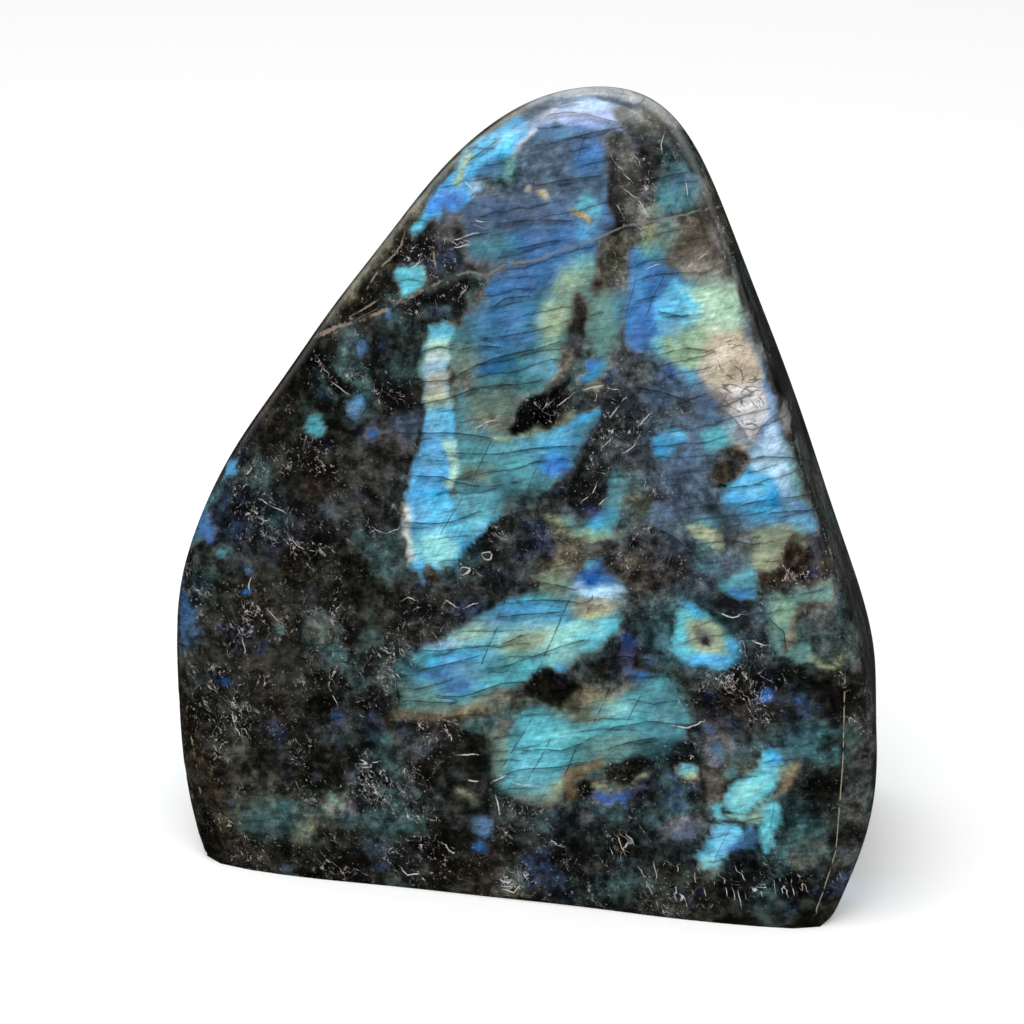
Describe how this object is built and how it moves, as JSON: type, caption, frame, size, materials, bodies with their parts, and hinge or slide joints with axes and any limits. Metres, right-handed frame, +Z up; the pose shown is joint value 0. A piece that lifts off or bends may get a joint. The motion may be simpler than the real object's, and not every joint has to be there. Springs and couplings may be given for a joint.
{
  "type": "labradorite freeform",
  "caption": "Polished labradorite freeform: a thick, leaning wedge of dark feldspar with blue, cyan and gold flashes, standing on a flat sawn base.",
  "frame": {"origin": "centre of the stone's bounding box, on the plane of its sawn base", "axes": "+Z up from the base to the crown, +X to the right across the polished front, +Y from the front to the back"},
  "size_m": [0.1478, 0.065, 0.1654],
  "materials": {
    "labradorite": "polished"
  },
  "bodies": {
    "root": {"stone": "labradorite"}
  },
  "joints": []
}
